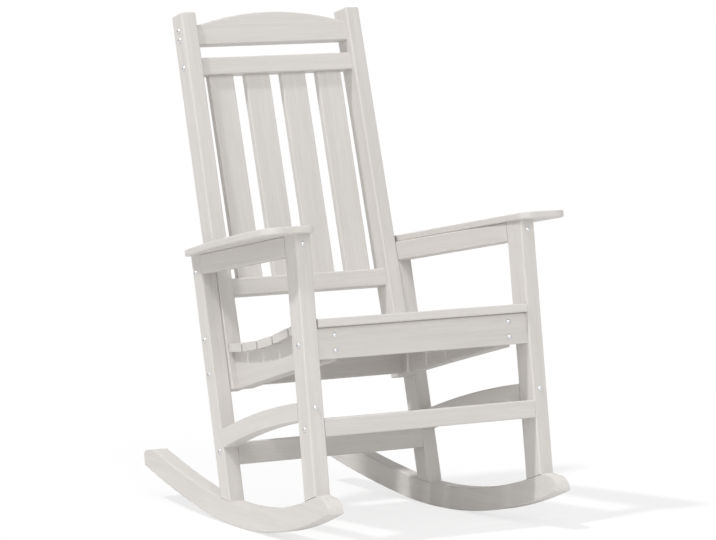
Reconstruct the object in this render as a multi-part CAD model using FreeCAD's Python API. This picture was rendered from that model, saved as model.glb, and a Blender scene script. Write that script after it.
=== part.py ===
# Rocking armchair of square posts and flat boards, every board and screw a solid of its own.
#
# All sizes are millimetres and degrees. The chair is modelled upright: x to the sitter's left,
# y to the rear from the front face of the front legs, z up along the front legs. At the end
# every piece is leaned back by rest_lean, the attitude in which the empty chair stands still on
# its rockers, and the origin is moved to the middle of the footprint on the ground.
# Each side frame (rocker, legs, stretcher, arm rail) is drawn in its own plane and turned by
# side_splay, so that the chair is narrower at the rear.
import FreeCAD, Part
import math
import os
from FreeCAD import Vector

# whole chair
inner_half_width = 263.5       # inner face of a front leg, from the middle plane
side_splay = 3.93              # turn of each side frame, opening to the front
rest_lean = 8.3                # backward lean of the chair at rest
edge_round = 3.0               # rounding of the long board edges
beyond = 3000.0                # reach of cutting blocks, past every face of the chair

# posts and rails of the side frames
post_width = 36.0              # thickness of a side frame
front_leg_depth = 50.5
rear_leg_depth = 42.0
rear_leg_foot_y = 436.5        # rear face of the rear leg at z = 0
rear_leg_lean = 5.89
arm_rail_height = 42.0

# rockers
rocker_height = 51.0
rocker_radius = 1018.0         # sole under the legs
rocker_centre_y = 218.2
rocker_low_z = -71.5           # lowest point of the sole, upright
rocker_tail_start = 508.0      # y where the sole runs out flatter
rocker_tail_radius = 2530.0    # sole of the rear end
rocker_front_y = -52.5
rocker_rear_y = 799.5
rocker_nose_lip = 0.5          # upright edge under the rounded corner
rocker_nose_radius = 33.5      # rounded upper corner of the front end
rocker_tail_top = 111.5        # level cut of the rear end
rocker_tail_round = 13.0

# cross members and stretchers
stretcher_height = 39.5
side_stretcher_radius = 1870.0
side_stretcher_front_top = 198.5
side_stretcher_rear_top = 150.0
front_stretcher_depth = 39.0
front_stretcher_bottom = 124.5
front_stretcher_height = 38.0
rear_stretcher_bottom = 72.0
rear_stretcher_height = 48.0
rear_stretcher_depth = 36.0
rear_stretcher_y = 404.5       # front face
apron_recess = 7.5             # behind the front face of the legs
apron_thickness = 30.0
apron_bottom = 283.5

# seat
slat_thickness = 18.0
slat_gap = 7.0
seat_nodes = [(-3.0, 368.5), (62.0, 365.0), (135.0, 355.5), (211.0, 341.5),
              (284.0, 333.8), (355.0, 330.7), (419.0, 332.0)]   # top line, middles of the gaps
slat_end_gap = 2.0             # slat end to the plane of the legs
seat_rail_thickness = 36.0
seat_rail_front_gap = 27.5     # inner plane of the legs at y = 0 to the rail, at the apron
seat_rail_rear_gap = 43.5      # the same, at the back post
seat_rail_bottom = [(37.0, 278.0), (220.0, 256.5), (416.0, 232.0)]
cross_rail_y = 386.5
cross_rail_thickness = 25.0
cross_rail_bottom = 238.0

# back, measured along the leaning back posts
back_front_y = 378.0           # front face of the back posts at z = 0
back_lean = 7.59
back_post_width = 35.0
back_post_depth = 49.0
back_post_foot = 236.5
back_post_top = 1066.0
back_post_top_round = 4.0
back_rail_recess = 8.5         # behind the front face of the posts
back_rail_thickness = 31.0
back_rail_height = 38.5
lower_rail_bottom = 438.5
crest_drop = 3.0               # middle of the crest rail below the post tops
crest_height = 69.0            # in the middle
crest_end_height = 41.5
crest_gap = 28.5               # between the crest and the upper rail
back_slat_count = 4
back_slat_width = 62.5
back_slat_thickness = 15.5
back_slat_edge_gap = 24.5      # outer slat to the post, at the upper rail
back_slat_recess = 10.5        # behind the front face of the rails
back_slat_tenon = 8.0          # housed length of each slat end
housing_clearance = 0.25       # around a housed slat end

# arms
arm_thickness = 15.0
arm_front_under = 546.5        # underside above the front face of the front leg
arm_slope = 2.41               # underside falls to the rear
arm_front_y = -22.0
arm_rear_y = 496.5
arm_inner_front_over = 6.0    # inward of the inner plane of the legs at y = 0
arm_inner_rear_over = 25.5
arm_outer_front_over = 119.0   # outward of the same plane, unrounded
arm_outer_rear_over = 15.0
arm_outer_middle = (88.5, 215.0)      # point of the outer edge: outward of the plane, and y
arm_front_inner_round = 24.0
arm_front_outer_round = 38.0
arm_rear_round = 8.0

# screws
screw_shank = 5.0
screw_head = 11.0
screw_head_height = 3.4
screw_point = 0.3              # radius of the blunt tip
screw_slot = 1.4               # width of the cross recess
pan_recess = (1.6, 5.4)        # depth and length of the cross recess
flat_recess = (1.4, 4.6)
frame_screw_length = 65.0
long_screw_length = 80.0
arm_screw_length = 28.0
seat_screw_length = 45.0
seat_screw_shank = 4.5
seat_screw_head = 9.0
clearance_hole = 0.3           # added to the shank where the screw passes freely
pilot_clearance = 0.05         # added to the shank where the thread holds
counterbore = 14.0
rocker_counterbore_depth = 22.0
cross_rail_counterbore_depth = 12.0
plug_clearance = 0.1           # around a plug, and above the screw head under it
arm_counterbore_depth = 24.0
hole_spare = 2.0               # hole depth past the screw point
sunk_screw = 4.5               # head of the lowest back screw, below the face under the leg

# screw places
stretcher_screw_drop = 12.5    # below the top line at the front leg
stretcher_screw_rear_drop = 26.0
front_stretcher_screw = (0.63, 0.46)  # shares of the depth and height
rear_stretcher_screw = (0.53, 0.65)
post_screws = [(488.0, 8.0), (343.0, 4.5), (269.0, 3.0)]   # height, and behind the leg's middle
crest_screws = (14.0, 35.0)    # above the crest rail's lower edge
apron_screws = (17.0, 49.0)    # above the apron's lower edge
post_foot_screws = (26.0, 64.0)       # above the foot of the back post
post_foot_screw_in = 26.0      # from the outer face of the back post
cross_rail_screws = (22.0, 54.0)      # above the cross rail's lower edge
screw_shares = (0.27, 0.73)    # across a leg's foot, or a slat
arm_screw_ys = (95.0, 235.0, 375.0)
front_slat_screws = (0.30, 0.76)      # shares of the half width
slat_screw_out = 9.0           # outward of the middle of the seat rail


rocker_centre_z = rocker_low_z + rocker_radius
crest_middle_top = back_post_top - crest_drop
crest_bottom = crest_middle_top - crest_height
crest_end_top = crest_bottom + crest_end_height
upper_rail_bottom = crest_bottom - crest_gap - back_rail_height
uncut = inner_half_width + post_width     # half length of a cross board before it is cut to fit


def on_line(y0, z0, lean, z):
    return y0 + (z - z0) * math.tan(math.radians(lean))


def face_of(points):
    pts = [Vector(*p) for p in points]
    return Part.Face(Part.makePolygon(pts + [pts[0]]))


def side_board(outline, x0, x1):
    """Prism of a y-z outline between two x planes."""
    return face_of([(x0, y, z) for y, z in outline]).extrude(Vector(x1 - x0, 0, 0))


def block(x0, x1, y0, y1, z0, z1):
    return Part.makeBox(x1 - x0, y1 - y0, z1 - z0, Vector(x0, y0, z0))


def soften(shape, radius, wanted):
    edges = [e for e in shape.Edges if wanted(e)]
    return shape.makeFillet(radius, edges)


def round_long_edges(board):
    """Round the edges that run the length of a board."""
    longest = max(edge.Length for edge in board.Edges)
    return soften(board, edge_round, lambda edge: edge.Length > longest / 4)


def mirrored(shape):
    return shape.mirror(Vector(0, 0, 0), Vector(1, 0, 0))


def placed(shape, placement):
    moved = shape.copy()
    moved.Placement = placement.multiply(moved.Placement)
    return moved


def turn(axis, degrees, base=Vector(0, 0, 0)):
    return FreeCAD.Placement(base, FreeCAD.Rotation(axis, degrees))


# a side frame is drawn with x = 0 on its inner face, the back with y = 0 on its front face
side_frame = turn(Vector(0, 0, 1), side_splay, Vector(inner_half_width, 0, 0))
back_frame = turn(Vector(1, 0, 0), -back_lean, Vector(0, back_front_y, 0))


def between_sides(shape, inset=0.0):
    """Cut a board off at the inner planes of the two side frames, less the inset."""
    keeper = placed(block(-beyond, -inset, -beyond, beyond, -beyond, beyond), side_frame)
    return shape.common(keeper).common(mirrored(keeper))


def seat_under(y):
    """Height of the slats' underside, which is the top line of the seat rails."""
    for (ya, za), (yb, zb) in zip(seat_nodes, seat_nodes[1:]):
        if y <= yb:
            break
    return za + (zb - za) * (y - ya) / (yb - ya) - slat_thickness


def arm_under(y):
    return arm_front_under - y * math.tan(math.radians(arm_slope))


# the rear end of the rocker follows a wider circle, tangent where the tail starts
tail_angle = math.asin((rocker_tail_start - rocker_centre_y) / rocker_radius)
tail_centre_y = rocker_centre_y - (rocker_tail_radius - rocker_radius) * math.sin(tail_angle)
tail_centre_z = rocker_centre_z + (rocker_tail_radius - rocker_radius) * math.cos(tail_angle)


def rocker_line(depth, y):
    """Height of the sole (depth 0) or of the line at a depth above it."""
    if y < rocker_centre_y + (rocker_radius - depth) * math.sin(tail_angle):
        cy, cz, r = rocker_centre_y, rocker_centre_z, rocker_radius - depth
    else:
        cy, cz, r = tail_centre_y, tail_centre_z, rocker_tail_radius - depth
    return cz - math.sqrt(r**2 - (y - cy) ** 2)


parts = {}

# side frame, left side


def make_rocker():
    front, rear = rocker_front_y, rocker_rear_y

    def arcs(depth, ya, yb):
        turn_y = rocker_centre_y + (rocker_radius - depth) * math.sin(tail_angle)
        found = []
        for y0, y1 in ((ya, turn_y), (turn_y, yb)):
            points = [Vector(0, y, rocker_line(depth, y)) for y in (y0, (y0 + y1) / 2, y1)]
            found.append(Part.Arc(*points).toShape())
        return found
    nose = rocker_nose_radius
    nose_z = rocker_line(0, front) + rocker_nose_lip
    nose_c = Vector(0, front + nose, nose_z)
    nose_top = Vector(0, front + nose, nose_z + nose)
    slant = nose * math.sqrt(0.5)
    upper = rocker_tail_radius - rocker_height
    tail_y = tail_centre_y + math.sqrt(upper**2 - (tail_centre_z - rocker_tail_top) ** 2)
    front_low = Vector(0, front, rocker_line(0, front))
    rear_low = Vector(0, rear, rocker_line(0, rear))
    nose_start = Vector(0, front, nose_z)
    nose_mid = nose_c + Vector(0, -slant, slant)
    round_y = rocker_tail_round
    tail_low = Vector(0, rear, rocker_tail_top - round_y)
    tail_mid = Vector(0, rear - round_y * (1 - math.sqrt(0.5)),
                      rocker_tail_top - round_y * (1 - math.sqrt(0.5)))
    tail_high = Vector(0, rear - round_y, rocker_tail_top)
    tail_top = Vector(0, tail_y, rocker_tail_top)
    leg_front = Vector(0, 0, rocker_line(rocker_height, 0.0))
    edges = arcs(0, front, rear) + arcs(rocker_height, 0.0, tail_y) + [
        Part.makeLine(rear_low, tail_low), Part.Arc(tail_low, tail_mid, tail_high).toShape(),
        Part.makeLine(tail_high, tail_top), Part.makeLine(leg_front, nose_top),
        Part.Arc(nose_top, nose_mid, nose_start).toShape(), Part.makeLine(nose_start, front_low)]
    wire = Part.Wire(Part.__sortEdges__(edges))
    board = Part.Face(wire).extrude(Vector(post_width, 0, 0))
    return round_long_edges(board)


def above_rocker(shape):
    """Shape a leg's foot to the curved top of the rocker."""
    drum = Part.makeCylinder(rocker_radius - rocker_height, 3 * post_width,
                             Vector(-post_width, rocker_centre_y, rocker_centre_z), Vector(1, 0, 0))
    return shape.common(drum)


def make_front_leg():
    d = front_leg_depth
    low = rocker_low_z
    leg = side_board([(0, low), (d, low), (d, arm_under(d)), (0, arm_under(0))], 0, post_width)
    return above_rocker(round_long_edges(leg))


def rear_leg_y(z):
    return on_line(rear_leg_foot_y, 0, rear_leg_lean, z)


rear_leg_run = rear_leg_depth / math.cos(math.radians(rear_leg_lean))   # depth at a level cut


def make_rear_leg():
    low, run = rocker_low_z, rear_leg_run
    outline = [(rear_leg_y(low) - run, low), (rear_leg_y(low), low)]
    slope, lean = (math.tan(math.radians(a)) for a in (arm_slope, rear_leg_lean))
    for foot_y in (rear_leg_foot_y, rear_leg_foot_y - run):
        z = (arm_front_under - foot_y * slope) / (1 + slope * lean)
        outline.append((foot_y + z * lean, z))
    leg = side_board(outline, 0, post_width)
    return above_rocker(round_long_edges(leg))


def between_legs(shape):
    """Cut a rail off at the rear face of the front leg and the front face of the rear leg."""
    ya, high = front_leg_depth, 2 * arm_front_under
    room = side_board([(ya, 0), (rear_leg_y(0) - rear_leg_run, 0),
                       (rear_leg_y(high) - rear_leg_run, high), (ya, high)], 0, post_width)
    return shape.common(room)


def make_side_stretcher():
    """Arched rail, concentric top and bottom, fitted between the two legs."""
    r = side_stretcher_radius
    ya, za = front_leg_depth, side_stretcher_front_top
    zb = side_stretcher_rear_top
    yb = rear_leg_y(zb) - rear_leg_run
    half = math.hypot(yb - ya, zb - za) / 2
    slope = math.atan2(zb - za, yb - ya)
    reach = math.sqrt(r**2 - half**2)
    cy = (ya + yb) / 2 + reach * math.sin(slope)
    cz = (za + zb) / 2 - reach * math.cos(slope)
    centre = Vector(0, cy, cz)
    ring = Part.makeCylinder(r, post_width, centre, Vector(1, 0, 0)).cut(
        Part.makeCylinder(r - stretcher_height, post_width, centre, Vector(1, 0, 0)))
    piece = ring.common(block(0, post_width, ya, yb + rear_leg_run, 0, arm_front_under))
    return between_legs(round_long_edges(piece))


def make_arm_rail():
    ya, yb, h = front_leg_depth, rear_leg_y(arm_front_under), arm_rail_height
    rail = side_board([(ya, arm_under(ya)), (ya, arm_under(ya) - h), (yb, arm_under(yb) - h),
                       (yb, arm_under(yb))], 0, post_width)
    return between_legs(round_long_edges(rail))


for name, maker in (("rocker", make_rocker), ("front_leg", make_front_leg),
                    ("rear_leg", make_rear_leg), ("side_stretcher", make_side_stretcher),
                    ("arm_rail", make_arm_rail)):
    parts[name] = placed(maker(), side_frame)


# arms


def make_arm():
    """Board with a bowed outer edge, rounded front corners and softened rims."""
    yf, yr = arm_front_y, arm_rear_y
    plane = inner_half_width
    xi, xo = plane - arm_inner_front_over, plane + arm_outer_front_over
    front_inner, front_outer = Vector(xi, yf, 0), Vector(xo, yf, 0)
    rear_outer = Vector(plane + arm_outer_rear_over, yr, 0)
    rear_inner = Vector(plane - arm_inner_rear_over, yr, 0)
    middle = Vector(plane + arm_outer_middle[0], arm_outer_middle[1], 0)
    bow = Part.Arc(front_outer, middle, rear_outer).toShape()
    edges = [Part.makeLine(front_inner, front_outer), bow,
             Part.makeLine(rear_outer, rear_inner), Part.makeLine(rear_inner, front_inner)]
    board = Part.Face(Part.Wire(edges)).extrude(Vector(0, 0, arm_thickness))
    middle_x = (xi + xo) / 2

    def corner(front, outer):
        return lambda e: (e.BoundBox.ZLength > 1 and e.BoundBox.XLength < 1
                          and (e.BoundBox.YMax < yf + 1) == front
                          and (not front or (e.BoundBox.XMin > middle_x) == outer))
    board = soften(board, arm_front_inner_round, corner(True, False))
    board = soften(board, arm_front_outer_round, corner(True, True))
    board = soften(board, arm_rear_round, lambda e: corner(False, False)(e)
                   and e.BoundBox.YMin > yr - 1)
    rims = [e for e in board.Edges if e.BoundBox.ZLength < 0.01]
    board = board.makeFillet(edge_round, rims)
    return placed(board, turn(Vector(1, 0, 0), -arm_slope, Vector(0, 0, arm_front_under)))


parts["arm"] = make_arm()

# members between the side frames

ap0, ap1 = apron_recess, apron_recess + apron_thickness
apron = side_board([(ap0, apron_bottom), (ap1, apron_bottom), (ap1, seat_under(ap1)),
                    (ap0, seat_under(ap0))], -uncut, uncut)
parts["front_apron"] = between_sides(round_long_edges(apron))

fs = block(-uncut, uncut, 0, front_stretcher_depth, front_stretcher_bottom,
           front_stretcher_bottom + front_stretcher_height)
parts["front_stretcher"] = between_sides(round_long_edges(fs))

rs = block(-uncut, uncut, rear_stretcher_y, rear_stretcher_y + rear_stretcher_depth,
           rear_stretcher_bottom, rear_stretcher_bottom + rear_stretcher_height)
parts["rear_stretcher"] = between_sides(round_long_edges(rs))

# seat

seat_rail_front_x = inner_half_width - seat_rail_front_gap     # outer face of the rail
seat_rail_turn = math.degrees(math.atan2(seat_rail_rear_gap - seat_rail_front_gap,
                                           seat_rail_bottom[-1][0] - ap1))
rail_frame = turn(Vector(0, 0, 1), seat_rail_turn, Vector(seat_rail_front_x, ap1, 0))


def back_face_y(z):
    return on_line(back_front_y, 0, back_lean, z)


def make_seat_rail():
    """Rail under the slats, flat under each of them, curved below."""
    (y0, z0), (ym, zm), (y1, z1) = seat_rail_bottom
    tops = [(y, seat_under(y)) for y, _ in reversed(seat_nodes) if y > ap1]
    rear_top_z = seat_under(seat_nodes[-1][0])
    rear_top = (back_face_y(rear_top_z), rear_top_z)
    rear_low = (back_face_y(z1), z1)
    front_low, front_top = (ap1, z0), (ap1, seat_under(ap1))
    outline = [rear_low, rear_top] + [p for p in tops if p[0] < rear_top[0]] + [front_top, front_low]
    points = [Vector(0, y, z) for y, z in outline]
    edges = [Part.makeLine(a, b) for a, b in zip(points, points[1:])]
    edges.append(Part.Arc(points[-1], Vector(0, ym, zm), points[0]).toShape())
    rail = Part.Face(Part.Wire(edges)).extrude(Vector(-seat_rail_thickness, 0, 0))
    rail = round_long_edges(rail)
    shift = FreeCAD.Placement(Vector(0, -ap1, 0), FreeCAD.Rotation())
    return placed(placed(rail, shift), rail_frame)


parts["seat_rail"] = make_seat_rail()
high = back_post_top
keep_front_of_back = side_board([(ap1, 0), (back_face_y(0), 0), (back_face_y(high), high),
                                 (ap1, high)], -uncut, uncut)
parts["seat_rail"] = parts["seat_rail"].common(keep_front_of_back)

c0, c1 = cross_rail_y, cross_rail_y + cross_rail_thickness
cross = side_board([(c0, cross_rail_bottom), (c1, cross_rail_bottom), (c1, seat_under(c1)),
                    (c0, seat_under(c0))], -uncut, uncut)
cross = round_long_edges(cross)
inside_rails = placed(block(-beyond, -seat_rail_thickness, -beyond, beyond, -beyond, beyond),
                      rail_frame)
parts["seat_cross_rail"] = cross.common(inside_rails).common(mirrored(inside_rails))

slats = []
for i in range(len(seat_nodes) - 1):
    (ya, za), (yb, zb) = seat_nodes[i], seat_nodes[i + 1]
    length = math.hypot(yb - ya, zb - za)
    fore = slat_gap / 2 if i else 0.0
    board = block(-uncut, uncut, fore, length - slat_gap / 2, 0, slat_thickness)
    board = round_long_edges(board)
    tilt = math.degrees(math.atan2(zb - za, yb - ya))
    frame = turn(Vector(1, 0, 0), tilt, Vector(0, ya, za - slat_thickness))
    slats.append((frame, length))
    parts["seat_slat_%d" % (i + 1)] = between_sides(placed(board, frame), slat_end_gap)

# back


def make_back_post():
    """Post with its outer face on the inner plane of the side frame."""
    post = block(-back_post_width, 0, 0, back_post_depth, back_post_foot, back_post_top)
    post = soften(post, back_post_top_round,
                  lambda e: abs(e.Length - back_post_depth) < 0.01
                  and e.BoundBox.ZMin > back_post_top - 1)
    return round_long_edges(post)


# the post leans in the plane of the side frame, whose own turn comes first
post_frame = side_frame.multiply(turn(Vector(1, 0, 0), -back_lean, Vector(0, back_front_y, 0)))
parts["back_post"] = placed(make_back_post(), post_frame)

rail_front = back_rail_recess
between_posts = placed(block(-beyond, -back_post_width, -beyond, beyond, -beyond, beyond), post_frame)


def back_rail(low, high):
    rail = block(-uncut, uncut, rail_front, rail_front + back_rail_thickness, low, high)
    return round_long_edges(rail)


def fit_between_posts(shape):
    rail = placed(shape, back_frame)
    return rail.common(between_posts).common(mirrored(between_posts))


def half_back(height):
    """Half the clear width between the posts at a height."""
    splay = math.tan(math.radians(side_splay))
    return inner_half_width - back_post_width - back_face_y(height) * splay


back_slat_pitch = (2 * (half_back(upper_rail_bottom) - back_slat_edge_gap) - back_slat_width) \
    / (back_slat_count - 1)
slat_front = rail_front + back_slat_recess
slat_low = lower_rail_bottom + back_rail_height - back_slat_tenon
slat_high = upper_rail_bottom + back_slat_tenon


def back_slat(i, extra=0.0):
    x0 = (i - (back_slat_count - 1) / 2) * back_slat_pitch - back_slat_width / 2
    return block(x0 - extra, x0 + back_slat_width + extra, slat_front - extra,
                 slat_front + back_slat_thickness + extra, slat_low - extra, slat_high + extra)


lower = back_rail(lower_rail_bottom, lower_rail_bottom + back_rail_height)
upper = back_rail(upper_rail_bottom, upper_rail_bottom + back_rail_height)
for i in range(back_slat_count):
    housing = back_slat(i, housing_clearance)
    lower, upper = lower.cut(housing), upper.cut(housing)
    slat = round_long_edges(back_slat(i))
    parts["back_slat_%d" % (i + 1)] = placed(slat, back_frame)
parts["lower_back_rail"] = fit_between_posts(lower)
parts["upper_back_rail"] = fit_between_posts(upper)

# crest rail with a bowed top
bow_end = half_back(crest_bottom)
y0, y1 = rail_front, rail_front + back_rail_thickness
reach = bow_end + back_post_width
bow_drop = (crest_middle_top - crest_end_top) * (reach / bow_end) ** 2
low_left, low_right = Vector(-reach, y0, crest_bottom), Vector(reach, y0, crest_bottom)
high_left = Vector(-reach, y0, crest_middle_top - bow_drop)
high_right = Vector(reach, y0, crest_middle_top - bow_drop)
crest_edges = [Part.makeLine(low_left, low_right), Part.makeLine(low_right, high_right),
               Part.Arc(high_right, Vector(0, y0, crest_middle_top), high_left).toShape(),
               Part.makeLine(high_left, low_left)]
crest = Part.Face(Part.Wire(crest_edges)).extrude(Vector(0, back_rail_thickness, 0))
parts["crest_rail"] = fit_between_posts(round_long_edges(crest))

# screws


def cross_recess(depth, across):
    tools = []
    for a in (0, 90):
        slot = block(-across / 2, across / 2, -screw_slot / 2, screw_slot / 2, -depth, screw_head_height)
        tools.append(placed(slot, turn(Vector(0, 0, 1), a)))
    return tools[0].fuse(tools[1])


def pan_screw(length):
    """Round-headed screw: head above z = 0, shank and point below."""
    r, h = screw_head / 2, screw_head_height
    ball = (r**2 + h**2) / (2 * h)
    head = Part.makeSphere(ball, Vector(0, 0, h - ball)).common(
        Part.makeCylinder(r + 1, h + 1, Vector(0, 0, 0)))
    tip = screw_shank
    shank = Part.makeCylinder(screw_shank / 2, length - tip, Vector(0, 0, tip - length))
    point = Part.makeCone(screw_point, screw_shank / 2, tip, Vector(0, 0, -length))
    recess = placed(cross_recess(*pan_recess), FreeCAD.Placement(Vector(0, 0, h),
                                                                 FreeCAD.Rotation()))
    return head.fuse([shank, point]).removeSplitter().cut(recess)


def flat_screw(length):
    """Countersunk screw, head level with z = 0."""
    r, s = seat_screw_head / 2, seat_screw_shank / 2
    head = Part.makeCone(s, r, r - s, Vector(0, 0, s - r))
    tip = seat_screw_shank
    shank = Part.makeCylinder(s, length - tip - (r - s), Vector(0, 0, tip - length))
    point = Part.makeCone(screw_point, s, tip, Vector(0, 0, -length))
    recess = cross_recess(*flat_recess)
    return head.fuse([shank, point]).removeSplitter().cut(recess)


def rod(diameter, depth, above=0.0):
    return Part.makeCylinder(diameter / 2, depth + above, Vector(0, 0, -depth))


kinds = {"frame_screws": pan_screw(frame_screw_length),
         "long_screws": pan_screw(long_screw_length),
         "arm_screws": pan_screw(arm_screw_length),
         "seat_screws": flat_screw(seat_screw_length)}
lengths = {"frame_screws": frame_screw_length, "long_screws": long_screw_length,
           "arm_screws": arm_screw_length, "seat_screws": seat_screw_length}
groups = {kind: [] for kind in kinds}
groups["plugs"] = []
pairs = ["rocker", "front_leg", "rear_leg", "side_stretcher", "arm_rail", "arm", "seat_rail",
         "back_post"]


def drive(kind, point, into, first, second, frame=None, pocket=0.0, plugged=False):
    """Set a screw at a point of the left half: free in the first piece, gripping the second."""
    aim = FreeCAD.Rotation(Vector(0, 0, -1), Vector(*into))
    seat = FreeCAD.Placement(Vector(*point) + Vector(*into).normalize() * pocket, aim)
    if frame is not None:
        seat = frame.multiply(seat)
    flat = kind == "seat_screws"
    shank = seat_screw_shank if flat else screw_shank
    free = rod(shank + clearance_hole, lengths[kind] + hole_spare)
    if flat:
        r, s = seat_screw_head / 2, seat_screw_shank / 2
        rim = clearance_hole / 2
        free = free.fuse(Part.makeCone(s + rim, r + rim, r - s, Vector(0, 0, s - r)))
    if pocket:
        free = free.fuse(Part.makeCylinder(counterbore / 2, beyond))
    if plugged:
        low = screw_head_height + plug_clearance
        plug = placed(Part.makeCylinder((counterbore - plug_clearance) / 2, beyond,
                                        Vector(0, 0, low)), seat)
        plug = plug.common(parts[first])
        groups["plugs"] += [plug, mirrored(plug)]
    grip = rod(shank + pilot_clearance, lengths[kind] + hole_spare)
    for name, tool in ((first, free), (second, grip)):
        tool = placed(tool, seat)
        parts[name] = parts[name].cut(tool)
        if name not in pairs:
            parts[name] = parts[name].cut(mirrored(tool))
    body = placed(kinds[kind], seat)
    groups[kind] += [body, mirrored(body)]


mid = post_width / 2

# front legs into the arm rails and side stretchers, from the front
drive("long_screws", (mid, 0, arm_under(0) - arm_rail_height / 2), (0, 1, 0), "front_leg",
      "arm_rail", side_frame)
drive("long_screws", (mid, 0, side_stretcher_front_top - stretcher_screw_drop), (0, 1, 0),
      "front_leg", "side_stretcher", side_frame)
# rear legs into the same rails, from the rear
ahead = (0, -math.cos(math.radians(rear_leg_lean)), math.sin(math.radians(rear_leg_lean)))
rear_rail_z = arm_under(rear_leg_y(arm_under(0))) - arm_rail_height / 2
for z, rail in ((rear_rail_z, "arm_rail"),
                (side_stretcher_rear_top - stretcher_screw_rear_drop, "side_stretcher")):
    drive("long_screws", (mid, rear_leg_y(z), z), ahead, "rear_leg", rail, side_frame)
# legs into the members between the side frames, from outside
outside = [
    ("front_leg", (ap0 + ap1) / 2, (apron_bottom + seat_under(ap0)) / 2, "front_apron"),
    ("front_leg", front_stretcher_screw[0] * front_stretcher_depth,
     front_stretcher_bottom + front_stretcher_screw[1] * front_stretcher_height,
     "front_stretcher"),
    ("rear_leg", rear_stretcher_y + rear_stretcher_screw[0] * rear_stretcher_depth,
     rear_stretcher_bottom + rear_stretcher_screw[1] * rear_stretcher_height, "rear_stretcher")]
for z, behind in post_screws:
    outside.append(("rear_leg", rear_leg_y(z) - rear_leg_run / 2 + behind, z, "back_post"))
for leg, y, z, member in outside:
    drive("frame_screws", (post_width, y, z), (-1, 0, 0), leg, member, side_frame)
# back posts into the crest and rails; the lowest screw is sunk, under the rear leg
rail_mid = rail_front + back_rail_thickness / 2
for w, member, sunk in ((crest_bottom + crest_screws[1], "crest_rail", 0),
                        (crest_bottom + crest_screws[0], "crest_rail", 0),
                        (upper_rail_bottom + back_rail_height / 2, "upper_back_rail", 0),
                        (lower_rail_bottom + back_rail_height / 2, "lower_back_rail",
                         sunk_screw)):
    drive("frame_screws", (0, rail_mid, w), (-1, 0, 0), "back_post", member, post_frame, sunk)
# apron and back posts into the seat rails
rail_x = seat_rail_front_x - seat_rail_thickness / 2
for up_by in apron_screws:
    drive("frame_screws", (rail_x, ap0, apron_bottom + up_by), (0, 1, 0), "front_apron", "seat_rail")
for up_by in post_foot_screws:
    drive("long_screws", (-post_foot_screw_in, back_post_depth, back_post_foot + up_by),
          (0, -1, 0), "back_post", "seat_rail", post_frame)
# seat rails into the rear cross rail, under plugs
for up_by in cross_rail_screws:
    drive("frame_screws", (0, (c0 + c1) / 2 - ap1, cross_rail_bottom + up_by), (-1, 0, 0), "seat_rail",
          "seat_cross_rail", rail_frame, cross_rail_counterbore_depth, True)
# rockers into the feet of the legs, from below
for share in screw_shares:
    y = share * front_leg_depth
    drive("long_screws", (mid, y, rocker_line(0, y)), (0, 0, 1), "rocker", "front_leg",
          side_frame, rocker_counterbore_depth, True)
foot_z = rocker_line(rocker_height, rear_leg_foot_y)
up = (0, math.sin(math.radians(rear_leg_lean)), math.cos(math.radians(rear_leg_lean)))
for share in screw_shares:
    y = rear_leg_y(foot_z) - (1 - share) * rear_leg_run
    drive("long_screws", (mid, y, rocker_line(0, y)), up, "rocker", "rear_leg",
          side_frame, rocker_counterbore_depth, True)
# arm rails into the arms, from below
lift = (0, math.sin(math.radians(arm_slope)), math.cos(math.radians(arm_slope)))
for y in arm_screw_ys:
    drive("arm_screws", (mid, y, arm_under(y) - arm_rail_height), lift, "arm_rail", "arm",
          side_frame, arm_counterbore_depth)
# slats onto the apron, the seat rails and the cross rail
for i, (frame, length) in enumerate(slats):
    top = slat_thickness
    name = "seat_slat_%d" % (i + 1)
    if i == 0:
        for share in front_slat_screws:
            x = share * inner_half_width
            drive("seat_screws", (x, (ap0 + ap1) / 2 - seat_nodes[0][0], top), (0, 0, -1),
                  name, "front_apron", frame)
        continue
    for share in screw_shares:
        along = share * length
        y = seat_nodes[i][0] + along - ap1
        x = rail_x + slat_screw_out - y * math.tan(math.radians(seat_rail_turn))
        drive("seat_screws", (x, along, top), (0, 0, -1), name, "seat_rail", frame)
last_y = (c0 + c1) / 2 - seat_nodes[-2][0]
drive("seat_screws", (front_slat_screws[0] * inner_half_width, last_y, slat_thickness), (0, 0, -1),
      "seat_slat_%d" % len(slats), "seat_cross_rail", slats[-1][0])

# rest pose and export

lean = math.radians(rest_lean)
drop = rocker_centre_z * math.cos(lean) - rocker_centre_y * math.sin(lean) - rocker_radius
rear_reach = rocker_rear_y * math.cos(lean) + rocker_line(0, rocker_rear_y) * math.sin(lean)
front_reach = rocker_front_y * math.cos(lean) + rocker_line(0, rocker_front_y) * math.sin(lean)
rest = FreeCAD.Placement(Vector(0, -(rear_reach + front_reach) / 2, -drop),
                         FreeCAD.Rotation(Vector(1, 0, 0), -rest_lean))

nodes = {}
for name, shape in parts.items():
    if name in pairs:
        nodes[name + "_left"] = shape
        nodes[name + "_right"] = mirrored(shape)
    else:
        nodes[name] = shape
for kind, screws in groups.items():
    nodes[kind] = Part.makeCompound(screws)

os.makedirs("parts", exist_ok=True)
for name, shape in nodes.items():
    placed(shape, rest).exportStep("parts/%s.step" % name)
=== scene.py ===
# %% [markdown]
# A porch rocker made of plastic lumber: square posts, flat boards and bright screws. The boards
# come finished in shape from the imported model, so the work here is their surface, the screws,
# a camera where the photographer stood, and plain light.

# %% Load the chair
import math

import bmesh
import bpy
import numpy as np
from mathutils import Matrix, Vector


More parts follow.
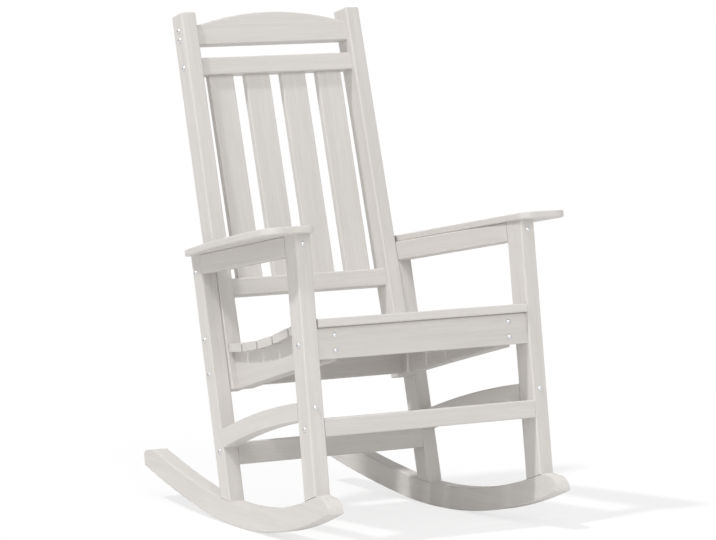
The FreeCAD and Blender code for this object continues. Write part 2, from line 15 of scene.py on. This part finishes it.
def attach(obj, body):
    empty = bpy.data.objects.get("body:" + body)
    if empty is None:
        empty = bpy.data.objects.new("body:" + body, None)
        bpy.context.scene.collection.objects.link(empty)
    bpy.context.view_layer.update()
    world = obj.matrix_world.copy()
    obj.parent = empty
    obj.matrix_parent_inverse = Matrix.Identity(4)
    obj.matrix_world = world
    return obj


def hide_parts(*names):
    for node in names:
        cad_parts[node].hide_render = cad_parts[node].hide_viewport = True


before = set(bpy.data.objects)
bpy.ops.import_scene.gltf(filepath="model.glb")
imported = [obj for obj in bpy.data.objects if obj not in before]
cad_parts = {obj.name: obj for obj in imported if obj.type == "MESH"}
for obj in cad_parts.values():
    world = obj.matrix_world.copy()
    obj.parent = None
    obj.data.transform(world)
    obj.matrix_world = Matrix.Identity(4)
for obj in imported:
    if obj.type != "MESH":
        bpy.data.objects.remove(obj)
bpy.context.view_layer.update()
boards = {name: piece for name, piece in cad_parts.items() if "screws" not in name}
print("boards and plugs:", len(boards), "of", len(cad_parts), "pieces")

# %% [markdown]
# The camera stands far off with a long lens, to the chair's right and a little above the arms.
# Its place, direction and lens come from a fit of the chair's straight edges to the photograph.
# A long lens matters: a near camera would spread the rockers and shrink the back.

# %% Camera at the photograph's angle
PHOTO_WIDTH = 716
FOCAL_PIXELS = 4482
SENSOR = 36.0
PHOTO_OFFSET = 0.6      # pixels that the photograph's chair sits to the right


def stand_camera():
    lens = bpy.data.cameras.new("photo_camera")
    camera = bpy.data.objects.new("photo_camera", lens)
    bpy.context.scene.collection.objects.link(camera)
    bpy.context.scene.camera = camera
    camera.location = (-5.1297, -8.1121, 1.5762)
    looking = Vector((0.53447, 0.83827, -0.10788))
    camera.rotation_euler = looking.to_track_quat("-Z", "Y").to_euler()
    lens.sensor_width = SENSOR
    lens.lens = FOCAL_PIXELS * SENSOR / PHOTO_WIDTH
    lens.shift_x = -PHOTO_OFFSET / PHOTO_WIDTH
    lens.clip_end = 100
    return camera


camera = stand_camera()
print("lens", round(camera.data.lens, 1), "mm")

# %% [markdown]
# A material's maths is easier to read as an expression than as boxes and wires. A Value wraps one
# output socket, and its operators add the Math nodes. A Finish holds one material and has one
# method for every other kind of node.


# %% Shader maths as expressions
class Value:
    def __init__(self, finish, socket):
        self.finish = finish
        self.socket = socket

    def maths(self, operation, *values):
        return self.finish.add("ShaderNodeMath", {"operation": operation}, dict(enumerate(values)))

    def __add__(self, other):
        return self.maths("ADD", self, other)

    def __sub__(self, other):
        return self.maths("SUBTRACT", self, other)

    def __mul__(self, other):
        return self.maths("MULTIPLY", self, other)

    __radd__ = __add__

    def between(self, low, high):
        """0 below low, 1 above high, and a smooth step from one to the other."""
        return self.finish.add("ShaderNodeMapRange", {"interpolation_type": "SMOOTHSTEP"},
                               {"Value": self, "From Min": low, "From Max": high})


class Finish:
    def __init__(self, name):
        self.material = bpy.data.materials.new(name)
        self.material.use_nodes = True
        self.tree = self.material.node_tree
        self.tree.nodes.clear()

    def add(self, kind, settings, values, output=0):
        node = self.tree.nodes.new(kind)
        for name, setting in settings.items():
            setattr(node, name, setting)
        for name, value in values.items():
            if isinstance(value, Value):
                self.tree.links.new(value.socket, node.inputs[name])
            else:
                node.inputs[name].default_value = value
        return Value(self, node.outputs[output])

    def noise(self, place, detail):
        return self.add("ShaderNodeTexNoise", {},
                        {"Vector": place, "Scale": 1.0, "Detail": detail, "Roughness": 0.55})

    def mix(self, share, first, second):
        """A colour between two colours. The Mix node's colour sockets are its 6, 7 and output 2."""
        return self.add("ShaderNodeMix", {"data_type": "RGBA"},
                        {0: share, 6: first, 7: second}, output=2)

    def show(self, shader):
        end = self.tree.nodes.new("ShaderNodeOutputMaterial")
        self.tree.links.new(shader.socket, end.inputs["Surface"])
        return self.material

    def surface(self, values):
        return self.show(self.add("ShaderNodeBsdfPrincipled", {}, values))


# %% [markdown]
# Plastic lumber is pressed with a wood grain that runs the length of each board. So each board
# needs its own direction. The length of a board is the direction in which its surface spreads
# most, weighing every triangle by its area so that holes and rounded edges don't turn it.


# %% Find the length of each board
def board_axes(piece):
    """Middle of a piece's surface, and its length, width and thickness directions."""
    mesh = piece.data
    mesh.calc_loop_triangles()
    places = np.array([v.co for v in mesh.vertices])
    corners = places[np.array([t.vertices for t in mesh.loop_triangles])]
    areas = np.array([t.area for t in mesh.loop_triangles])
    middles = corners.mean(axis=1)
    centre = np.average(middles, axis=0, weights=areas)
    spread = (middles - centre) * np.sqrt(areas)[:, None]
    _, directions = np.linalg.eigh(spread.T @ spread)
    length, width = Vector(directions[:, 2]), Vector(directions[:, 1])
    return Vector(centre), length, width, length.cross(width)


for name in ("rocker_left", "arm_left", "back_slat_1"):
    print(name, "runs along", [round(x, 2) for x in board_axes(boards[name])[1]])

# %% [markdown]
# The real boards are a pale warm grey-white, matte, with fine streaks along the grain, a slow
# change of tone between bands and shallow pores. Noise stretched along the board makes each of
# them, at three scales. The same streaks feed the bump, so that light and colour agree.

# %% Plastic lumber
LUMBER_LIGHT = (0.690, 0.665, 0.640, 1.0)
LUMBER_DARK = (0.615, 0.590, 0.567, 1.0)
LUMBER_PORE = (0.510, 0.488, 0.466, 1.0)
BAND_SIZE = (0.45, 0.014, 0.014)       # metres along, across and through the board
STREAK_SIZE = (0.080, 0.0020, 0.0020)
PORE_SIZE = (0.018, 0.0008, 0.0008)
GRAIN_DEPTH = 0.00012
BAND_SHARE, STREAK_SHARE, PORE_SHARE = 0.45, 0.55, 0.45


def plastic_lumber(name, axes, seed):
    centre, length, width, through = axes
    finish = Finish("plastic_lumber_" + name)
    place = finish.add("ShaderNodeTexCoord", {}, {}, output=3)
    turn = Matrix((length, width, through))
    start = turn @ -centre + Vector((0.0, 1.7, 3.1)) * seed
    board = finish.add("ShaderNodeMapping", {"vector_type": "POINT"},
                       {"Vector": place, "Location": start, "Rotation": turn.to_euler()})

    def pattern(size, detail):
        stretched = finish.add("ShaderNodeVectorMath", {"operation": "MULTIPLY"},
                               {0: board, 1: [1 / s for s in size]})
        return finish.noise(stretched, detail)

    band = pattern(BAND_SIZE, 3.0).between(0.32, 0.68)
    streak = pattern(STREAK_SIZE, 5.0).between(0.30, 0.70)
    pore = pattern(PORE_SIZE, 2.0).between(0.64, 0.74)
    grain = band * BAND_SHARE + streak * STREAK_SHARE
    tone = finish.mix(grain, LUMBER_DARK, LUMBER_LIGHT)
    tone = finish.mix(pore * PORE_SHARE, tone, LUMBER_PORE)
    relief = grain - pore * 0.6
    bump = finish.add("ShaderNodeBump", {}, {"Height": relief, "Strength": 0.6,
                                             "Distance": GRAIN_DEPTH})
    return finish.surface({"Base Color": tone, "Roughness": 0.50 + grain * 0.14,
                           "Normal": bump, "Specular IOR Level": 0.35})


for number, name in enumerate(sorted(boards)):
    piece = boards[name]
    finish = plastic_lumber(name, board_axes(piece), number)
    piece.data.materials.clear()
    piece.data.materials.append(finish)
print("lumber on", len(boards), "pieces")

# %% [markdown]
# The screws are bright steel. They are small, so at arm's length they read as white dots, but
# close up they show turning marks: fine rings, rougher than the polished rim.

# %% Bright steel
STEEL = (0.78, 0.79, 0.80, 1.0)
STEEL_DULL = (0.60, 0.61, 0.62, 1.0)
MARK_SIZE = 0.0005


def bright_steel():
    finish = Finish("bright_steel")
    place = finish.add("ShaderNodeTexCoord", {}, {}, output=3)
    close = finish.add("ShaderNodeVectorMath", {"operation": "SCALE"},
                       {"Vector": place, "Scale": 1 / MARK_SIZE})
    marks = finish.noise(close, 3.0).between(0.35, 0.65)
    bump = finish.add("ShaderNodeBump", {}, {"Height": marks, "Strength": 0.15,
                                             "Distance": 0.00005})
    return finish.surface({"Base Color": finish.mix(marks, STEEL_DULL, STEEL), "Metallic": 1.0,
                           "Roughness": 0.24 + marks * 0.12, "Normal": bump})


steel = bright_steel()
for name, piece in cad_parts.items():
    if name not in boards:
        piece.data.materials.clear()
        piece.data.materials.append(steel)

# %% [markdown]
# Every round-headed screw is the same shape in another place, which is what Geometry Nodes are
# for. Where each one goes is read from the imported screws: the wide end is the head, and the line
# from the tip to the middle of the head's rim is the way it points.

# %% Find the screws
HEAD_HEIGHT = 0.0034
WELD = 1e-6             # vertices closer than this are one
RIM_SHARE = 0.95        # of the greatest radius, where the head's rim begins
TIP_HEIGHT = 0.0003     # of the part of the shank that counts as its tip


def separate_solids(piece):
    """Vertex places of each loose solid. The copy is welded, because its triangles are loose."""
    work = bmesh.new()
    work.from_mesh(piece.data)
    bmesh.ops.remove_doubles(work, verts=work.verts, dist=WELD)
    unseen = set(work.verts)
    solids = []
    while unseen:
        wave, found = [unseen.pop()], []
        while wave:
            vertex = wave.pop()
            found.append(vertex.co[:])
            for edge in vertex.link_edges:
                other = edge.other_vert(vertex)
                if other in unseen:
                    unseen.remove(other)
                    wave.append(other)
        solids.append(np.array(found))
    work.free()
    return sorted(solids, key=lambda s: [round(x, 4) for x in s.mean(axis=0)])


def seat_of(solid):
    """Point under a screw's head, the way out of the board, and the screw's whole length."""
    centre = solid.mean(axis=0)
    way = np.linalg.svd(solid - centre)[2][0]
    along = (solid - centre) @ way
    across = np.linalg.norm(solid - centre - along[:, None] * way, axis=1)
    if along[across.argmax()] < 0:
        way, along = -way, -along
    rim = solid[across > RIM_SHARE * across.max()].mean(axis=0)
    tip = solid[along < along.min() + TIP_HEIGHT].mean(axis=0)
    way = (rim - tip) / np.linalg.norm(rim - tip)
    length = ((solid - tip) @ way).max()
    return tip + way * (length - HEAD_HEIGHT), way, length


# %% [markdown]
# The tree turns a profile round an axis: a domed head, a rim, a shank and a point. Sweeping the
# profile along a very small circle does the turning. Two thin blocks are cut away for the cross,
# and the finished screw is placed at each point, turned to its own direction.


# %% A tree that makes round-headed screws
def screw_tree():
    tree = bpy.data.node_groups.new("round_headed_screws", "GeometryNodeTree")
    made = tree.interface
    made.new_socket("Geometry", in_out="INPUT", socket_type="NodeSocketGeometry")
    for name in ("Head Radius", "Head Height", "Shank Radius", "Shank Length", "Rim Height",
                 "Cross Length", "Cross Width", "Cross Depth"):
        made.new_socket(name, in_out="INPUT", socket_type="NodeSocketFloat")
    made.new_socket("Finish", in_out="INPUT", socket_type="NodeSocketMaterial")
    made.new_socket("Geometry", in_out="OUTPUT", socket_type="NodeSocketGeometry")
    given = tree.nodes.new("NodeGroupInput")

    def node(kind, settings, values, output=0):
        made_node = tree.nodes.new(kind)
        for name, setting in settings.items():
            setattr(made_node, name, setting)
        for name, value in values.items():
            if isinstance(value, bpy.types.NodeSocket):
                tree.links.new(value, made_node.inputs[name])
            else:
                made_node.inputs[name].default_value = value
        return made_node.outputs[output]

    def size(name):
        return given.outputs[name]

    def maths(operation, first, second):
        return node("ShaderNodeMath", {"operation": operation}, {0: first, 1: second})

    def point(x, y, z=0.0):
        return node("ShaderNodeCombineXYZ", {}, {0: x, 1: y, 2: z})

    def line(start, end):
        return node("GeometryNodeCurvePrimitiveLine", {}, {"Start": start, "End": end})

    def joined(kind, name, parts):
        made_node = tree.nodes.new(kind)
        for part in parts:
            tree.links.new(part, made_node.inputs[name])
        return made_node.outputs[0]

    head, rim, shank = size("Head Radius"), size("Rim Height"), size("Shank Radius")
    foot = maths("MULTIPLY", size("Shank Length"), -1.0)
    shoulder = maths("ADD", foot, maths("MULTIPLY", shank, 2.0))
    rise = maths("SUBTRACT", size("Head Height"), rim)
    bulge = point(maths("MULTIPLY", head, 0.62),
                  maths("ADD", rim, maths("MULTIPLY", rise, 0.74)))
    dome = node("GeometryNodeCurveArc", {"mode": "POINTS"},
                {"Resolution": 9, "Start": point(0.0, size("Head Height")), "Middle": bulge,
                 "End": point(head, rim)})
    profile = joined("GeometryNodeJoinGeometry", "Geometry", [
        dome, line(point(head, rim), point(head, 0.0)), line(point(head, 0.0), point(shank, 0.0)),
        line(point(shank, 0.0), point(shank, shoulder)),
        line(point(shank, shoulder), point(0.0, foot))])
    axle = node("GeometryNodeCurvePrimitiveCircle", {"mode": "RADIUS"},
                {"Resolution": 28, "Radius": 1e-6})
    turned = node("GeometryNodeCurveToMesh", {}, {"Curve": axle, "Profile Curve": profile})
    closed = node("GeometryNodeMergeByDistance", {}, {"Geometry": turned, "Distance": 5e-6})
    solid = node("GeometryNodeTransform", {}, {"Geometry": closed,
                                               "Rotation": (math.pi, 0.0, 0.0)})
    slots = []
    for quarter in (0.0, math.pi / 2):
        block = node("GeometryNodeMeshCube", {}, {
            "Size": point(size("Cross Length"), size("Cross Width"),
                          maths("MULTIPLY", size("Cross Depth"), 2.0))})
        slots.append(node("GeometryNodeTransform", {}, {
            "Geometry": block, "Translation": point(0.0, 0.0, size("Head Height")),
            "Rotation": (0.0, 0.0, quarter)}))
    cut = tree.nodes.new("GeometryNodeMeshBoolean")
    cut.operation = "DIFFERENCE"
    tree.links.new(solid, cut.inputs[0])
    for slot in slots:
        tree.links.new(slot, cut.inputs[1])

    way = node("GeometryNodeInputNamedAttribute", {"data_type": "FLOAT_VECTOR"}, {"Name": "way"})
    spin = node("FunctionNodeRandomValue", {"data_type": "FLOAT"},
                {2: 0.0, 3: math.pi / 2, "Seed": 4}, output=1)
    aimed = node("FunctionNodeAlignRotationToVector", {"axis": "Z"}, {"Vector": way})
    own = node("FunctionNodeAxisAngleToRotation", {}, {"Axis": (0.0, 0.0, 1.0), "Angle": spin})
    facing = node("FunctionNodeRotateRotation", {"rotation_space": "LOCAL"},
                  {"Rotation": aimed, "Rotate By": own})
    placed = node("GeometryNodeInstanceOnPoints", {},
                  {"Points": given.outputs["Geometry"], "Instance": cut.outputs[0],
                   "Rotation": facing})
    real = node("GeometryNodeRealizeInstances", {}, {"Geometry": placed})
    finished = node("GeometryNodeSetMaterial", {},
                    {"Geometry": real, "Material": given.outputs["Finish"]})
    result = tree.nodes.new("NodeGroupOutput")
    tree.links.new(finished, result.inputs[0])
    return tree


# %% [markdown]
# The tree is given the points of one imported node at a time. Its result becomes a plain mesh, the
# modifier goes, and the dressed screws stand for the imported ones.

# %% Set the screws
SCREW_SIZES = {"Head Radius": 0.0055, "Head Height": HEAD_HEIGHT, "Shank Radius": 0.0025,
               "Rim Height": 0.0006, "Cross Length": 0.0054, "Cross Width": 0.0014,
               "Cross Depth": 0.0016}
SHARP_ANGLE = math.radians(32)


def dressed_screws(node_name, tree):
    seats = [seat_of(solid) for solid in separate_solids(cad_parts[node_name])]
    points = bpy.data.meshes.new(node_name + "_places")
    points.from_pydata([seat[0] for seat in seats], [], [])
    ways = points.attributes.new("way", "FLOAT_VECTOR", "POINT")
    ways.data.foreach_set("vector", np.array([seat[1] for seat in seats]).ravel())
    holder = bpy.data.objects.new("dressed_" + node_name, points)
    bpy.context.scene.collection.objects.link(holder)
    modifier = holder.modifiers.new("screws", "NODES")
    modifier.node_group = tree
    sizes = dict(SCREW_SIZES)
    sizes["Shank Length"] = float(seats[0][2]) - HEAD_HEIGHT
    sizes["Finish"] = steel
    for socket in tree.interface.items_tree:
        if socket.in_out == "INPUT" and socket.name in sizes:
            modifier[socket.identifier] = sizes[socket.name]
    graph = bpy.context.evaluated_depsgraph_get()
    mesh = bpy.data.meshes.new_from_object(holder.evaluated_get(graph))
    holder.modifiers.remove(modifier)
    holder.data = mesh
    bpy.data.meshes.remove(points)
    work = bmesh.new()
    work.from_mesh(mesh)
    bmesh.ops.recalc_face_normals(work, faces=work.faces)
    work.to_mesh(mesh)
    work.free()
    mesh.shade_smooth()
    mesh.set_sharp_from_angle(angle=SHARP_ANGLE)
    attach(holder, "root")
    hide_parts(node_name)
    print(node_name, len(seats), "screws,", len(mesh.polygons), "faces")
    return holder


tree = screw_tree()
for node_name in ("frame_screws", "long_screws", "arm_screws"):
    dressed_screws(node_name, tree)

# %% [markdown]
# The photograph is a cut-out on white with hardly any shadow. The floor is a pale diffuse plane
# that throws its light back up under the seat. Only for the camera it is mostly plain white, so
# that the shadow stays, but as faint as a cut-out allows.

# %% Floor
FLOOR_HALF = 60.0
FLOOR_COLOUR = (0.90, 0.90, 0.90, 1.0)
FLOOR_WHITE = 1.01
WHITE_SHARE = 0.72


def lay_floor():
    mesh = bpy.data.meshes.new("floor")
    h = FLOOR_HALF
    mesh.from_pydata([(-h, -h, 0), (h, -h, 0), (h, h, 0), (-h, h, 0)], [], [(0, 1, 2, 3)])
    floor = bpy.data.objects.new("floor", mesh)
    bpy.context.scene.collection.objects.link(floor)
    finish = Finish("pale_floor")
    seen = finish.add("ShaderNodeLightPath", {}, {}, output=0)
    plain = finish.add("ShaderNodeBsdfDiffuse", {}, {"Color": FLOOR_COLOUR})
    white = finish.add("ShaderNodeEmission", {}, {"Strength": FLOOR_WHITE})
    both = finish.add("ShaderNodeMixShader", {}, {0: seen * WHITE_SHARE, 1: plain, 2: white})
    mesh.materials.append(finish.show(both))


lay_floor()

# %% [markdown]
# The photograph's light can be read from its tones. Fronts, near sides and tops are about equally
# bright, faces under the seat are a quarter darker, and thin stripes of light fall through the
# seat gaps onto the far seat rail. So there is a broad light from the front, a narrow one from
# the near side, square to the chair, and an even sky. Together they show a face that is turned to
# them in about its own colour. Metal needs something white to reflect, so glossy rays see white.

# %% Light
SKY_LIGHT = 0.41
SUNS = {"front_light": (-20, 40, 45, 1.12),     # azimuth, height and width in degrees, strength
        "side_light": (-90, 60, 4, 1.75)}


def open_sky():
    world = bpy.data.worlds.new("open_sky")
    bpy.context.scene.world = world
    world.use_nodes = True
    nodes, links = world.node_tree.nodes, world.node_tree.links
    nodes.clear()
    path = nodes.new("ShaderNodeLightPath")
    either = nodes.new("ShaderNodeMath")
    either.operation = "MAXIMUM"
    links.new(path.outputs["Is Camera Ray"], either.inputs[0])
    links.new(path.outputs["Is Glossy Ray"], either.inputs[1])
    strength = nodes.new("ShaderNodeMapRange")
    strength.inputs["To Min"].default_value = SKY_LIGHT
    strength.inputs["To Max"].default_value = 1.0
    links.new(either.outputs[0], strength.inputs["Value"])
    backdrop = nodes.new("ShaderNodeBackground")
    links.new(strength.outputs[0], backdrop.inputs["Strength"])
    backdrop.inputs["Color"].default_value = (1, 1, 1, 1)
    links.new(backdrop.outputs[0], nodes.new("ShaderNodeOutputWorld").inputs["Surface"])


def shine(name, azimuth, height, width, strength):
    """A distant lamp. Azimuth 0 shines from the front, and minus is the chair's right."""
    light = bpy.data.lights.new(name, "SUN")
    light.energy, light.angle = strength, math.radians(width)
    lamp = bpy.data.objects.new(name, light)
    bpy.context.scene.collection.objects.link(lamp)
    a, h = math.radians(azimuth), math.radians(height)
    towards = Vector((math.sin(a) * math.cos(h), -math.cos(a) * math.cos(h), math.sin(h)))
    lamp.rotation_euler = towards.to_track_quat("Z", "Y").to_euler()


open_sky()
for name, (azimuth, height, width, strength) in SUNS.items():
    shine(name, azimuth, height, width, strength)
bpy.context.scene.view_settings.view_transform = "Standard"
print("sky", SKY_LIGHT, "and", len(SUNS), "lamps")
